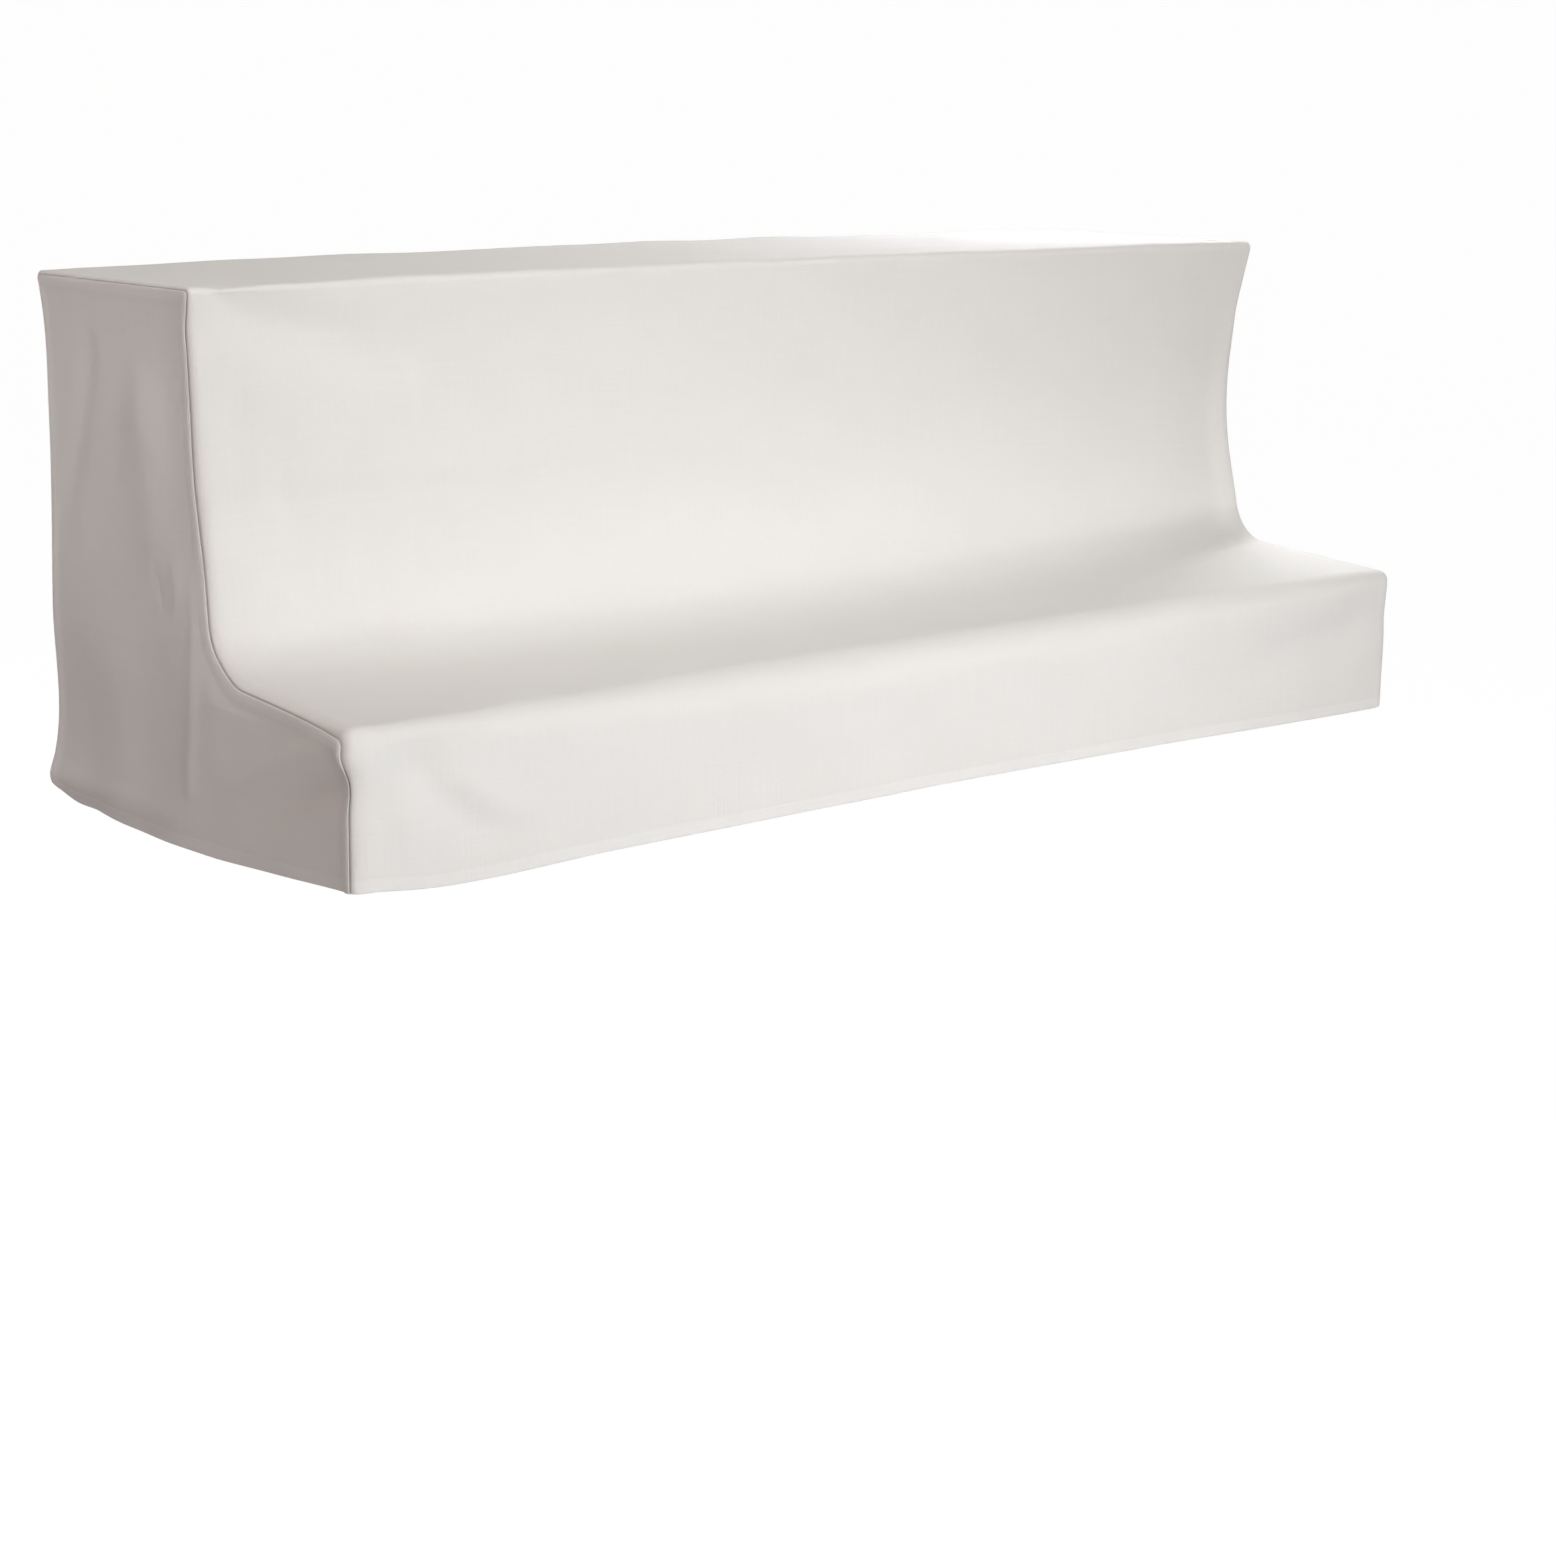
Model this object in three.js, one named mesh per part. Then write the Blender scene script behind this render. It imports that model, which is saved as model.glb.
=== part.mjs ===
// Fitted half cover for an upright piano, sewn from three pieces of cloth: one long strip that runs
// from the front hem up over the lid and down the back, and an L-shaped gable at each end.
// Millimetres. X runs along the keyboard, -Y points at the player, +Z is up.
// The origin is the middle of the lid that the cover lies on.

import * as THREE from 'three';
import { mergeVertices } from 'three/addons/utils/BufferGeometryUtils.js';

// ---- Cloth ----

const CLOTH = 2; // thickness of one layer as it hangs
const HEM_CLOTH = 3.2; // thickness of the turned hem
const HEM_HEIGHT = 12; // how far the turned hem reaches up
const HEM_STEP = 2; // height over which the hem thins to one layer
const SEAM_GAP = 0.4; // between two pieces that meet at a seam
const CLOTH_COLOR = '#e4e2dd';

// ---- Cross-section of the strip ----

// Each corner of the section, from the front hem up and over to the back hem. y and z are where the
// straight stretches on either side of it would meet and radius is how softly the cloth turns there,
// each at the left end, the middle and the right end of the cover. wrap is how far the strip turns
// over the gable before its seam. arc and run are the numbers of steps on the bend and on the
// straight stretch after it.
const SECTION = [
  { at: 'front hem', y: [-428, -430, -426], z: [-556, -555, -563],
    radius: [0, 0, 0], wrap: 11, arc: 0, run: 6 },
  { at: 'shelf edge', y: [-431, -430, -428], z: [-398, -394, -391],
    radius: [18, 18, 13], wrap: 11, arc: 4, run: 4 },
  { at: 'front foot', y: [-188, -182, -186], z: [-376, -380, -372],
    radius: [62, 135, 54], wrap: 7, arc: 8, run: 2 },
  { at: 'front waist', y: [-171, -160, -152], z: [-200, -205, -215],
    radius: [500, 500, 360], wrap: 6, arc: 3, run: 2 },
  { at: 'front shoulder', y: [-162, -163, -162], z: [-40, -70, -88],
    radius: [80, 220, 200], wrap: 5, arc: 2, run: 3 },
  { at: 'top front', y: [-167, -173, -181], z: [2, 5, 2],
    radius: [8, 8, 8], wrap: 4, arc: 3, run: 5 },
  { at: 'top back', y: [172, 172, 172], z: [3, 9, 4],
    radius: [9, 9, 9], wrap: 4, arc: 3, run: 7 },
  { at: 'back hem', y: [173, 173, 173], z: [-546, -556, -556],
    radius: [0, 0, 0], wrap: 6, arc: 0, run: 0 },
];
const SHARPEST_BEND = 1.5; // smallest radius left where an inner line turns a corner

// Height of the front hem along the cover: x, z.
const FRONT_HEM = [[-760, -556], [-711, -561], [-471, -559], [90, -555], [420, -558], [650, -562],
  [760, -563]];

// ---- Width ----

// Half the width at the front and at the back, by height: z, half width. The gables lean in towards
// the back, and their back bottom corners stand out a little.
const FRONT_HALF_WIDTH = [[5, 766], [-60, 764], [-200, 763], [-400, 762], [-560, 761]];
const BACK_HALF_WIDTH = [[3, 753], [-35, 748], [-150, 746], [-348, 752], [-515, 758], [-538, 765],
  [-560, 757]];
const FRONT_Y = -170;
const BACK_Y = 172;

// ---- Strip: steps across ----

const FLAT_STEPS = [-1, -0.985, -0.96, -0.925, -0.88, -0.82, -0.74, -0.64, -0.5, -0.34, -0.17, 0,
  0.17, 0.34, 0.5, 0.64, 0.76, 0.86, 0.93, 0.975, 1]; // shares of the flat half width
const BEND_SHARE = 0.85; // share of the wrap that is the round edge; the rest runs straight to the seam
const BEND_STEPS = 3; // steps round the edge

// ---- Gables ----

// Lines beside the seam, by distance from it: how far the cloth stands out over the seam allowance.
const SEAM_BAND = [[SEAM_GAP, 0.3], [3, 1.7], [6.5, 2.2], [10, 1.3], [13, 0]];
const GABLE_COLUMNS = 15; // steps from the front band to the back band
// How far up the back seam a gable's row ends, by the station on the front edge where it starts.
const BACK_RISE = [[0.1, 0], [1, 0.2], [1.75, 0.25], [2.25, 0.36], [3, 0.6], [4, 0.86], [4.75, 1]];
// Height of the gable's hem below the straight line between its two ends: y, drop.
const GABLE_SAG = [[-420, 0], [-327, 6], [-234, 12], [-97, 17], [-15, 17], [70, 15], [150, 9], [168, 0]];

// ---- Soft folds ----

// Each fold follows a line of points, is as wide and as high as given and dies out at its far end; a
// hollow has a negative height. Folds of the strip end short of its seams, and the gables' folds cross them.
const STRIP_FOLDS = [
  { at: 'front, pull from the top left corner', width: 22, height: -3.5,
    along: [[-735, -168, -14], [-644, -165, -42], [-550, -163, -72], [-414, -163, -97]] },
  { at: 'front, upright hollow near the left end', width: 22, height: -2.5,
    along: [[-670, -166, -130], [-663, -172, -243], [-677, -190, -330]] },
  { at: 'apron, hollow from the left end of the shelf edge', width: 18, height: -3,
    along: [[-690, -431, -425], [-628, -430, -502], [-540, -430, -535]] },
  { at: 'apron, hollow at the right end', width: 30, height: -3,
    along: [[665, -429, -450], [523, -430, -480], [400, -430, -485]] },
];
const GABLE_FOLDS = [
  { at: 'left, ridge from the shelf corner', width: 20, height: 5,
    along: [[-762, -416, -425], [-762, -332, -447], [-761, -180, -500]] },
  { at: 'left, hollow under that ridge', width: 18, height: -3,
    along: [[-762, -410, -446], [-762, -280, -490], [-761, -130, -542]] },
  { at: 'left, ridge below the lid', width: 26, height: 2.5,
    along: [[-761, -70, -130], [-761, -96, -175], [-761, -95, -230]] },
  { at: 'left, slanting hollow near the back', width: 18, height: -3,
    along: [[-755, 35, -70], [-754, 60, -135], [-751, 110, -250]] },
  { at: 'right, ridge from the shelf corner', width: 22, height: 4,
    along: [[762, -414, -424], [762, -340, -450], [761, -220, -490]] },
];
const FOLD_FADE = 40; // distance from the strip's edge over which its own folds grow to full height

// ---- Helpers ----

const clamp = (value, low, high) => Math.min(Math.max(value, low), high);
const mix = (from, to, share) => from + (to - from) * share;

/** The value at x in a table of [x, value] pairs in either order, with straight lines between them. */
function lookUp(table, x) {
  const rising = table[0][0] < table[table.length - 1][0] ? table : [...table].reverse();
  const after = rising.findIndex(([at]) => at >= x);
  if (after === 0) return rising[0][1];
  if (after === -1) return rising[rising.length - 1][1];
  const [x0, value0] = rising[after - 1];
  const [x1, value1] = rising[after];
  return mix(value0, value1, (x - x0) / (x1 - x0));
}

/** A smooth value across the cover from those at its left end, middle and right end; t is -1 to 1. */
function across([left, middle, right], t) {
  return middle + ((right - left) / 2) * t + ((left + right) / 2 - middle) * t * t;
}

/** Half the width of the cover at a point of its section. */
function halfWidthAt(y, z) {
  const towardsFront = clamp((BACK_Y - y) / (BACK_Y - FRONT_Y), 0, 1);
  return mix(lookUp(BACK_HALF_WIDTH, z), lookUp(FRONT_HALF_WIDTH, z), towardsFront);
}

// ---- Section ----

/** The section's corners at t, moved inwards by a share of the wrap and a fixed distance beyond it. */
function sectionCorners(t, wrapShare, beyond) {
  const corners = SECTION.map(({ y, z, radius, wrap }) => ({
    point: new THREE.Vector2(across(y, t), across(z, t)),
    radius: across(radius, t),
    wrap,
  }));
  corners[0].point.y = lookUp(FRONT_HEM, t * FRONT_HEM[FRONT_HEM.length - 1][0]);

  const inward = corners.slice(1).map(({ point }, i) => {
    const along = point.clone().sub(corners[i].point).normalize();
    return new THREE.Vector2(along.y, -along.x);
  });
  return corners.map(({ point, radius, wrap }, i) => {
    const before = inward[Math.max(i - 1, 0)];
    const after = inward[Math.min(i, inward.length - 1)];
    const depth = wrap * wrapShare + beyond;
    const miter = before.clone().add(after).multiplyScalar(depth / (1 + before.dot(after)));
    const turnsOut = before.cross(after) < 0;
    return {
      point: point.clone().add(miter),
      radius: Math.max(turnsOut ? radius - depth : radius + depth, SHARPEST_BEND),
      wrap,
    };
  });
}

/** The bend at a corner, as a function of the share of its turn, from the stretch before it to the next. */
function bendAt(corners, i) {
  const { point: corner, radius } = corners[i];
  if (i === 0 || i === corners.length - 1) return () => corner.clone();
  const back = corners[i - 1].point.clone().sub(corner).normalize();
  const ahead = corners[i + 1].point.clone().sub(corner).normalize();
  const halfAngle = Math.acos(clamp(back.dot(ahead), -1, 1)) / 2;
  const centre = back.clone().add(ahead).normalize().multiplyScalar(radius / Math.sin(halfAngle)).add(corner);
  const start = back.multiplyScalar(radius / Math.tan(halfAngle)).add(corner);
  const end = ahead.multiplyScalar(radius / Math.tan(halfAngle)).add(corner);
  const startSpoke = start.clone().sub(centre);
  const endSpoke = end.clone().sub(centre);
  const turn = Math.atan2(startSpoke.cross(endSpoke), startSpoke.dot(endSpoke));
  return (share) => start.clone().rotateAround(centre, turn * share);
}

/** Shares of a stretch at which its rows lie; a stretch that ends in a hem has rows for that hem. */
function stretchShares(run, length, hemFirst, hemLast) {
  if (!hemFirst && !hemLast) return Array.from({ length: run - 1 }, (_, i) => (i + 1) / run);
  const hemTop = (HEM_HEIGHT + HEM_STEP) / length;
  const even = Array.from({ length: run }, (_, i) => mix(hemTop, 1, i / run));
  const shares = [HEM_HEIGHT / length, ...even];
  return hemFirst ? shares : shares.map((share) => 1 - share).reverse();
}

/**
 * The rounded section at t: its rows from the front hem to the back hem, as many at every t. A row's
 * station counts the corners passed: a bend spans a quarter before and after its corner's number.
 */
function section(t, wrapShare, beyond) {
  const corners = sectionCorners(t, wrapShare, beyond);
  const last = corners.length - 1;
  const bends = corners.map((_, i) => bendAt(corners, i));
  const rows = [];
  SECTION.forEach(({ arc, run }, i) => {
    for (let step = 0; step <= arc; step += 1) {
      const share = arc ? step / arc : 0;
      rows.push({ point: bends[i](share), wrap: corners[i].wrap, station: arc ? i - 0.25 + share / 2 : i });
    }
    if (i === last) return;
    const from = bends[i](1);
    const to = bends[i + 1](0);
    for (const share of stretchShares(run, from.distanceTo(to), i === 0, i === last - 1)) {
      rows.push({
        point: from.clone().lerp(to, share),
        wrap: mix(corners[i].wrap, corners[i + 1].wrap, share),
        station: mix(i === 0 ? 0 : i + 0.25, i + 0.75, share),
      });
    }
  });
  return { rows, bends };
}

// ---- Sheets ----

/** How far the given folds move the cloth outwards at a point. */
function foldHeight(folds, point) {
  let height = 0;
  for (const { along, width, height: full } of folds) {
    const stations = along.map((xyz) => new THREE.Vector3(...xyz));
    let nearest = Infinity;
    let progress = 0;
    for (let i = 0; i < stations.length - 1; i += 1) {
      const line = new THREE.Line3(stations[i], stations[i + 1]);
      const share = line.closestPointToPointParameter(point, true);
      const distance = line.at(share, new THREE.Vector3()).distanceTo(point);
      if (distance < nearest) {
        nearest = distance;
        progress = (i + share) / (stations.length - 1);
      }
    }
    height += full * (1 - progress * progress) * Math.exp(-((nearest / width) ** 2));
  }
  return height;
}

/** Outward directions of a grid of points, from the points next to each. */
function gridNormals(grid) {
  const lastRow = grid.length - 1;
  const lastColumn = grid[0].length - 1;
  return grid.map((row, r) => row.map((_, c) => {
    const right = grid[r][Math.min(c + 1, lastColumn)].clone().sub(grid[r][Math.max(c - 1, 0)]);
    const up = grid[Math.min(r + 1, lastRow)][c].clone().sub(grid[Math.max(r - 1, 0)][c]);
    return right.cross(up).normalize();
  }));
}

/**
 * A closed sheet of cloth over a grid of points on its outer face, thicker in the rows of a hem. Its
 * folds and its thickness go along the given direction, or along its own normals if there is none.
 */
function clothSheet(name, grid, isHemRow, foldAt, outwards) {
  const normals = gridNormals(grid);
  const rowSteps = grid.length - 1;
  const columnSteps = grid[0].length - 1;
  const box = new THREE.BoxGeometry(1, 1, 1, columnSteps, rowSteps, 1);
  box.deleteAttribute('normal');
  box.deleteAttribute('uv');
  const sheet = mergeVertices(box);
  const place = sheet.attributes.position;
  for (let i = 0; i < place.count; i += 1) {
    const c = Math.round((place.getX(i) + 0.5) * columnSteps);
    const r = Math.round((place.getY(i) + 0.5) * rowSteps);
    const isOuter = place.getZ(i) > 0;
    const thickness = isHemRow(r) ? HEM_CLOTH : CLOTH;
    const height = foldAt(grid[r][c]) - (isOuter ? 0 : thickness);
    const point = grid[r][c].clone().addScaledVector(outwards ?? normals[r][c], height);
    place.setXYZ(i, point.x, point.y, point.z);
  }
  const material = new THREE.MeshStandardMaterial({ color: CLOTH_COLOR, roughness: 0.9, metalness: 0 });
  const mesh = new THREE.Mesh(sheet, material);
  mesh.name = name;
  return mesh;
}

// ---- Strip ----

/** The strip's columns from its left seam to its right seam: round one edge, across, round the other. */
function stripColumns() {
  const edge = [{ wrapShare: 1, setIn: 0 }];
  for (let step = BEND_STEPS; step > 0; step -= 1) {
    const angle = ((Math.PI / 2) * step) / BEND_STEPS;
    edge.push({ wrapShare: BEND_SHARE * (1 - Math.cos(angle)), setIn: BEND_SHARE * (1 - Math.sin(angle)) });
  }
  const flat = FLAT_STEPS.map((side) => ({ side, wrapShare: 0, setIn: BEND_SHARE }));
  const left = edge.map((column) => ({ side: -1, ...column }));
  const right = edge.map((column) => ({ side: 1, ...column })).reverse();
  return [...left, ...flat, ...right];
}

/** The long strip from the front hem over the lid to the back hem. */
function mainPanel() {
  const columns = stripColumns().map(({ side, wrapShare, setIn }) =>
    section(side, wrapShare, 0).rows.map(({ point, wrap }) => {
      const halfWidth = halfWidthAt(point.x, point.y) - setIn * wrap;
      return new THREE.Vector3(side * halfWidth, point.x, point.y);
    }));
  const rowCount = columns[0].length;
  const grid = Array.from({ length: rowCount }, (_, r) => columns.map((column) => column[r]));
  const foldAt = (point) => {
    const fromEdge = halfWidthAt(point.y, point.z) - Math.abs(point.x);
    const ownShare = clamp(fromEdge / FOLD_FADE, 0, 1) ** 2;
    return foldHeight(GABLE_FOLDS, point) + foldHeight(STRIP_FOLDS, point) * ownShare;
  };
  return clothSheet('main_panel', grid, (r) => r < 2 || r > rowCount - 3, foldAt);
}

// ---- Gables ----

/**
 * The gable's half of a corner where two edges meet: a point of the band beside the seam, p lines in
 * from the edge that the bend starts at and q lines in from the one that it ends at.
 */
function cornerPoint(bendOfLine, p, q) {
  const innermost = SEAM_BAND.length - 1;
  return p <= q
    ? bendOfLine[p]((0.5 * (innermost - q)) / (innermost - p))
    : bendOfLine[q](1 - (0.5 * (innermost - p)) / (innermost - q));
}

/** A gable, side -1 for the left and 1 for the right: rows run from the front edge to the back edge. */
function sidePanel(name, side) {
  const topFront = SECTION.findIndex(({ at }) => at === 'top front');
  const topBack = topFront + 1;
  const lines = SEAM_BAND.map(([distance]) => section(side, 1, distance));
  const innermost = lines.length - 1;
  const bandHeight = (line) => SEAM_BAND[line][1];
  const frontBends = lines.map(({ bends }) => bends[topFront]);
  const backBends = lines.map(({ bends }) => bends[topBack]);
  const frontRows = lines.map(({ rows }) => rows.filter(({ station }) => station <= topFront - 0.25));

  const place = (point, height, sag) => {
    const z = point.y - sag * lookUp(GABLE_SAG, point.x);
    return new THREE.Vector3(side * (halfWidthAt(point.x, z) + height), point.x, z);
  };
  const gableRow = (front, back, sag) => {
    const [from, to] = [front[innermost], back[innermost]];
    const middle = Array.from({ length: GABLE_COLUMNS - 1 }, (_, i) =>
      place(from.clone().lerp(to, (i + 1) / GABLE_COLUMNS), 0, sag));
    const frontBand = front.map((point, line) => place(point, bandHeight(line), sag));
    const backBand = back.map((point, line) => place(point, bandHeight(line), sag)).reverse();
    return [...frontBand, ...middle, ...backBand];
  };

  const grid = frontRows[0].map(({ station }, r) => {
    const front = frontRows.map((line) => line[r].point);
    const back = lines.map(({ bends }) => {
      const hem = bends[SECTION.length - 1](0);
      const top = bends[topBack](1);
      const hemShares = stretchShares(1, hem.distanceTo(top), true, false);
      const share = r < 3 ? [0, ...hemShares][r] : mix(hemShares[1], 1, lookUp(BACK_RISE, station));
      return hem.lerp(top, share);
    });
    return gableRow(front, back, 1 - clamp(station, 0, 1));
  });
  for (let q = innermost - 1; q >= 0; q -= 1) {
    const front = lines.map((_, p) => cornerPoint(frontBends, p, q));
    const back = lines.map((_, p) => cornerPoint(backBends, q, p));
    const row = gableRow(front, back, 0);
    row.forEach((point, c) => {
      const fromEnd = Math.min(c, row.length - 1 - c);
      const height = bandHeight(Math.min(q, fromEnd, innermost));
      point.x = side * (halfWidthAt(point.y, point.z) + height);
    });
    grid.push(row);
  }
  const facingOut = side < 0 ? grid.map((row) => [...row].reverse()) : grid;
  const foldAt = (point) => foldHeight(GABLE_FOLDS, point);
  return clothSheet(name, facingOut, (r) => r < 2, foldAt, new THREE.Vector3(side, 0, 0));
}

// ---- The cover ----

const pianoCover = new THREE.Group();
pianoCover.add(mainPanel(), sidePanel('side_panel_left', -1), sidePanel('side_panel_right', 1));

export default pianoCover;
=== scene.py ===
# %% [markdown]
# # A fitted half cover for an upright piano
#
# The cover is three pieces of off-white cloth. One long strip starts at the hem of the apron,
# turns over the key shelf, climbs the front, crosses the lid and falls down the back. An L-shaped
# gable closes each end. The piano itself isn't here, so the cover hangs as if it were: straight
# over the lid, hollow in front where the cloth spans from the lid to the shelf, and open
# underneath.

# %% Frame
import math
import cmath
import bmesh
import bpy
import numpy as np
from mathutils import Matrix, Vector


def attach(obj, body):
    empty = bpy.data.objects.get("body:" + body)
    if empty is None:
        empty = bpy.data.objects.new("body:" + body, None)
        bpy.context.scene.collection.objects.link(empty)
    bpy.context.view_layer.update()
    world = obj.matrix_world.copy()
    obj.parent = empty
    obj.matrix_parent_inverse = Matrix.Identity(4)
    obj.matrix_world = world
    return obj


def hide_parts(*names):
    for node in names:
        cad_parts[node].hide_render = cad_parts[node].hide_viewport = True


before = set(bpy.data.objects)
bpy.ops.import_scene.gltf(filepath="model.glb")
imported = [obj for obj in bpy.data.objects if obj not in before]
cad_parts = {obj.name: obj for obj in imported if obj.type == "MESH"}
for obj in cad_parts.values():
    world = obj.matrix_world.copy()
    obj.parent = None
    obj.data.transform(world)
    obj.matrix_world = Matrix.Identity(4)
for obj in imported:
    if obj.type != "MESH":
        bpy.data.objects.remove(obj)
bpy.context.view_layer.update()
print("solids:", ", ".join(sorted(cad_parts)))

# %% [markdown]
# ## The camera
#
# A cover this size is looked at from a little above the lid and well to its left, so that one
# gable, the front and a narrow wedge of the lid show together. The camera could be aimed with a
# Track To constraint, but a roll of a fraction of a degree matters on a long straight lid, so its
# three axes are worked out from yaw, pitch and roll and written into its matrix.

# %% Camera
EYE = Vector((-2.34105, -2.89443, 0.19581))
YAW, PITCH, ROLL = (math.radians(a) for a in (40.469, 12.361, 0.1756))
SENSOR = 36.0
FOCAL_SHARE = 3165.9 / 1556  # focal length over the picture's width
FAR_CLIP = 200  # metres, well beyond the backdrop

ahead = Vector((math.sin(YAW) * math.cos(PITCH), math.cos(YAW) * math.cos(PITCH), -math.sin(PITCH)))
level = Vector((math.cos(YAW), -math.sin(YAW), 0))
upright = level.cross(ahead)
right = level * math.cos(ROLL) + upright * math.sin(ROLL)
up = upright * math.cos(ROLL) - level * math.sin(ROLL)

camera = bpy.data.objects.new("camera", bpy.data.cameras.new("camera"))
camera.data.sensor_width = SENSOR
camera.data.lens = SENSOR * FOCAL_SHARE
camera.data.clip_end = FAR_CLIP
camera.matrix_world = Matrix((right, up, -ahead)).transposed().to_4x4()
camera.location = EYE
bpy.context.scene.collection.objects.link(camera)
bpy.context.scene.camera = camera
print(f"camera: {camera.data.lens:.1f} mm lens, {EYE.length:.2f} m from the lid's middle")

# %% [markdown]
# ## The pattern of the cover
#
# The strip is one width of cloth whose side view is a chain of straight stretches and round bends.
# Each corner of that chain is written down as the maker would measure it: where the two stretches
# would meet, and how softly the cloth turns there, at the left end, the middle and the right end.
# The front sags a little more in the middle and pulls in more at the right, so the three values
# differ. All sizes are in millimetres here and become metres when a mesh is made.

# %% Corners of the strip's side view
MM = 0.001
SECTION = [
    # corner, y and z at the left end, middle and right end, radius at the same three places, and
    # how far the turn over the gable reaches, in the side view and in the front view
    ("front hem", (-428, -430, -426), (-556, -555, -563), (0, 0, 0), 10, 26),
    ("shelf edge", (-431, -430, -428), (-398, -394, -391), (18, 46, 14), 9, 20),
    ("front foot", (-188, -182, -186), (-376, -380, -372), (62, 130, 54), 8, 17),
    ("front waist", (-171, -168, -152), (-200, -205, -215), (500, 500, 360), 14, 19),
    ("front shoulder", (-162, -169, -162), (-40, -60, -88), (60, 220, 200), 9, 11),
    ("top front", (-167, -173, -181), (2, 5, 2), (8, 8, 8), 4, 5),
    ("top back", (172, 172, 172), (3, 9, 4), (9, 9, 9), 4, 5),
    ("back hem", (173, 173, 173), (-546, -556, -556), (0, 0, 0), 6, 8),
]
# Rows on each corner's bend, and on the straight stretch after it.
STEPS = [(0, 30), (12, 26), (24, 9), (9, 9), (7, 13), (6, 26), (6, 32), (0, 0)]
TOP_FRONT, TOP_BACK = 5, 6  # places of the lid's two corners in the list
SHARPEST_BEND = 1.5  # the smallest radius the cloth is turned to
HALF_BEND = 0.25  # stations count the corners; a bend takes this much on either side of its own
FRONT_HEM = [
    # x, z
    (-760, -556), (-711, -561), (-471, -559), (90, -555), (420, -558), (650, -562), (760, -563),
]
print("side view:", len(SECTION), "corners,", len(SECTION) - 1, "stretches")

# %% [markdown]
# The gables aren't upright planes: they lean in towards the back and their lowest back corners
# flare out. Half the width is therefore a table by height, one for the front and one for the back.
# A table read with straight lines would leave a crease at every entry, so each table is turned
# into a smooth curve through its entries.

# %% Widths as smooth curves
FRONT_HALF_WIDTH = [
    # z, half width
    (5, 766), (-60, 764), (-200, 763), (-400, 762), (-560, 761),
]
BACK_HALF_WIDTH = [
    # z, half width
    (3, 753), (-35, 748), (-150, 746), (-348, 752), (-515, 758), (-538, 765), (-560, 757),
]
TOWARDS_FRONT = [
    # y, share of the front's half width in the mix of the two
    (-440, 1), (-230, 1), (-182, 1), (-158, 0.955), (-100, 0.795), (0, 0.503), (100, 0.2105),
    (172, 0),
]


def smooth_curve(table):
    """A function that passes smoothly through a table of (place, value) pairs."""
    places, values = np.array(sorted(table), float).T
    slopes = np.gradient(values, places)

    def value_at(x):
        x = np.clip(x, places[0], places[-1])
        i = np.clip(np.searchsorted(places, x) - 1, 0, len(places) - 2)
        span = places[i + 1] - places[i]
        u = (x - places[i]) / span
        ease = u * u * (3 - 2 * u)
        rise = span * u * (1 - u) * ((1 - u) * slopes[i] - u * slopes[i + 1])
        return values[i] + (values[i + 1] - values[i]) * ease + rise

    return value_at


front_hem_z = smooth_curve(FRONT_HEM)
front_half_width = smooth_curve(FRONT_HALF_WIDTH)
back_half_width = smooth_curve(BACK_HALF_WIDTH)
towards_front = smooth_curve(TOWARDS_FRONT)


def half_width(y, z):
    """Half the cover's width at a point of its side view."""
    share = towards_front(y)
    return back_half_width(z) * (1 - share) + front_half_width(z) * share


print("half widths at mid height, front and back:",
      round(float(half_width(-170, -250))), round(float(half_width(172, -250))))

# %% [markdown]
# A point of the side view is kept as one complex number, y + z i. Turning by an angle is then a
# multiplication, which keeps the geometry of a rounded bend short. The same chain can be drawn a
# few millimetres further in: that is where the strip, turned over the gable's edge, meets its
# seam, and further in still lie the lines of the gable beside the seam.

# %% The strip's side view
# Distances of a hem's rows from its folded edge, up to the hem's top.
HEM_ROWS = [0, 0.25, 0.6, 1.2, 3, 6, 9, 12, 14.5]


def across(values, t):
    """A smooth value from those at the left end, middle and right end; t runs from -1 to 1."""
    left, middle, right_end = values
    return middle + (right_end - left) / 2 * t + ((left + right_end) / 2 - middle) * t * t


def unit(vector):
    """The same direction, one unit long."""
    return vector / abs(vector)


def inset_corners(t, wrap_share, beyond):
    """The corners at t, moved in by a share of the turn over the gable and a distance beyond it."""
    points = [complex(across(y, t), across(z, t)) for _, y, z, *_ in SECTION]
    points[0] = complex(points[0].real, float(front_hem_z(t * FRONT_HEM[-1][0])))
    inward = [-1j * unit(b - a) for a, b in zip(points, points[1:])]
    moved = []
    for i, (*_, radius, wrap, _) in enumerate(SECTION):
        before, after = inward[max(i - 1, 0)], inward[min(i, len(inward) - 1)]
        turn = before.conjugate() * after
        depth = wrap * wrap_share + beyond
        grown = across(radius, t) + (-depth if turn.imag < 0 else depth)
        corner = points[i] + (before + after) * depth / (1 + turn.real)
        moved.append((corner, max(grown, SHARPEST_BEND)))
    return moved


def round_bend(corners, i):
    """The bend at a corner, as a function of the share of its turn."""
    corner, radius = corners[i]
    if i in (0, len(corners) - 1):
        return lambda share: corner
    back, ahead_of = unit(corners[i - 1][0] - corner), unit(corners[i + 1][0] - corner)
    half = math.acos(max(-1.0, min(1.0, (back * ahead_of.conjugate()).real))) / 2
    centre = corner + unit(back + ahead_of) * radius / math.sin(half)
    spoke = corner + back * radius / math.tan(half) - centre
    turn = cmath.phase((corner + ahead_of * radius / math.tan(half) - centre) / spoke)
    return lambda share: centre + spoke * cmath.exp(1j * turn * share)


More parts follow.
